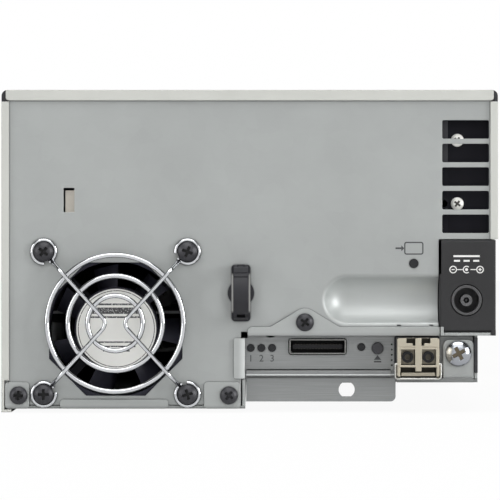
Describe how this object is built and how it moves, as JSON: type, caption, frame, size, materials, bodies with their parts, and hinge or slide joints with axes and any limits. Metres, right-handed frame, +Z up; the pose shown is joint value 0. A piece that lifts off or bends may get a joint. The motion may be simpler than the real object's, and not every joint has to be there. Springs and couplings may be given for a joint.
{
  "type": "optical disc archive drive",
  "caption": "Box-shaped optical disc archive drive with a cartridge slot in front; rear panel with guarded fan, vents, power inlet, cord clamp and fibre transceiver.",
  "frame": {"origin": "middle of the bounding box's underside, on the surface that the drive stands on", "axes": "+X to the right seen from the rear, +Y from the rear panel to the cartridge slot, +Z up"},
  "size_m": [0.17, 0.39, 0.1103],
  "materials": {
    "cover_paint": "fine satin paint over steel",
    "plated_sheet": "matt electro-galvanised steel",
    "chrome_wire": "bright chrome-plated wire",
    "black_screw": "black oxide",
    "zinc_screw": "bright zinc plate",
    "nylon": "dark moulded nylon",
    "fan_plastic": "black glass-filled plastic",
    "hub_label": "off-white film label",
    "copper_winding": "enamelled copper winding",
    "inlet_plastic": "dark grey moulding",
    "jack_plastic": "black moulding",
    "lamp_lens": "dark smoked lens",
    "button_plastic": "dark button",
    "connector_steel": "nickel-plated shell",
    "connector_black": "black insert",
    "board": "green solder mask",
    "transceiver_metal": "nickel-plated die casting",
    "ferrule": "dark ferrule sleeve",
    "bail_steel": "spring steel wire",
    "baffle_black": "black coated sheet",
    "mechanism_steel": "bright steel",
    "cast_metal": "die-cast alloy",
    "damper_rubber": "soft black rubber",
    "lens_glass": "coated objective lens",
    "bezel_plastic": "dark textured moulding"
  },
  "bodies": {
    "chassis": {"top_cover": "cover_paint", "bottom_pan": "plated_sheet", "rear_panel": "plated_sheet", "lock_plate": "plated_sheet", "control_bracket": "plated_sheet", "bracket_ear": "plated_sheet", "sfp_cage": "plated_sheet", "cartridge_holder": "plated_sheet", "loader_frame": "plated_sheet", "fan_guard": "chrome_wire", "bracket_screw": "black_screw", "case_screws": "black_screw", "fan_guard_screws": "black_screw", "ear_screw": "zinc_screw", "baffle_screws": "zinc_screw", "cord_clamp_base": "nylon", "fan_holder": "fan_plastic", "fan_frame": "fan_plastic", "fan_stator": "copper_winding", "dc_inlet_housing": "inlet_plastic", "dc_jack": "jack_plastic", "eject_switch": "jack_plastic", "cartridge_led_lens": "lamp_lens", "status_led_lenses": "lamp_lens", "control_connector_shell": "connector_steel", "control_connector_insert": "connector_black", "panel_board": "board", "interface_board": "board", "main_board": "board", "vent_baffle": "baffle_black", "deck_plate": "mechanism_steel", "guide_rods": "mechanism_steel", "sled_motor": "mechanism_steel", "door_pin": "mechanism_steel", "loader_rod": "mechanism_steel", "loader_motor": "mechanism_steel", "spindle_motor": "cast_metal", "heat_sink": "cast_metal", "deck_dampers": "damper_rubber", "front_bezel": "bezel_plastic"},
    "fan_rotor": {"fan_impeller": "fan_plastic", "fan_label": "hub_label"},
    "eject": {"eject_button": "button_plastic"},
    "clamp_strap": {"cord_clamp_strap": "nylon"},
    "transceiver": {"sfp_body": "transceiver_metal", "sfp_port_sleeves": "ferrule"},
    "bail": {"sfp_bail": "bail_steel"},
    "door": {"cartridge_door": "bezel_plastic"},
    "spindle": {"turntable": "cast_metal"},
    "sled": {"pickup_sled": "cast_metal", "pickup_lens": "lens_glass"},
    "sled_drive": {"sled_screw": "mechanism_steel"},
    "carriage": {"loader_carriage": "connector_black"},
    "carriage_drive": {"loader_screw": "mechanism_steel"}
  },
  "joints": [
    {"name": "fan_spin", "type": "hinge", "parent": "chassis", "child": "fan_rotor", "pos_m": [-0.0459, -0.177, 0.0284], "axis": [0, 1, 0], "continuous": true},
    {"name": "eject_press", "type": "slide", "parent": "chassis", "child": "eject", "axis": [0, 1, 0], "range_m": [0, 0.0012], "stiffness_N_per_m": 300},
    {"name": "clamp_open", "type": "hinge", "parent": "chassis", "child": "clamp_strap", "pos_m": [-0.003, -0.1859, 0.0492], "axis": [-1, 0, 0], "range_deg": [0, 100]},
    {"name": "transceiver_pull", "type": "slide", "parent": "chassis", "child": "transceiver", "axis": [0, -1, 0], "range_m": [0, 0.046]},
    {"name": "bail_swing", "type": "hinge", "parent": "transceiver", "child": "bail", "pos_m": [0.0574, -0.1895, 0.0166], "axis": [-1, 0, 0], "range_deg": [0, 90]},
    {"name": "door_swing", "type": "hinge", "parent": "chassis", "child": "door", "pos_m": [0, 0.189, 0.0872], "axis": [-1, 0, 0], "range_deg": [0, 85], "stiffness_Nm_per_rad": 0.003},
    {"name": "spindle_spin", "type": "hinge", "parent": "chassis", "child": "spindle", "pos_m": [0, -0.071, 0.04], "axis": [0, 0, 1], "continuous": true},
    {"name": "sled_slide", "type": "slide", "parent": "chassis", "child": "sled", "axis": [0, 1, 0], "range_m": [0, 0.035]},
    {"name": "sled_screw_turn", "type": "hinge", "parent": "chassis", "child": "sled_drive", "pos_m": [-0.033, -0.054, 0.0398], "axis": [0, 1, 0], "range_deg": [-10, 1585]},
    {"name": "carriage_slide", "type": "slide", "parent": "chassis", "child": "carriage", "axis": [0, 1, 0], "range_m": [0, 0.08]},
    {"name": "carriage_screw_turn", "type": "hinge", "parent": "chassis", "child": "carriage_drive", "pos_m": [0, 0.021, 0.048], "axis": [0, 1, 0], "range_deg": [-10, 3610]}
  ],
  "couplings": [
    {"joint": "sled_screw_turn", "follows": "sled_slide", "rad_per_m": 785.4},
    {"joint": "carriage_screw_turn", "follows": "carriage_slide", "rad_per_m": 785.4}
  ]
}
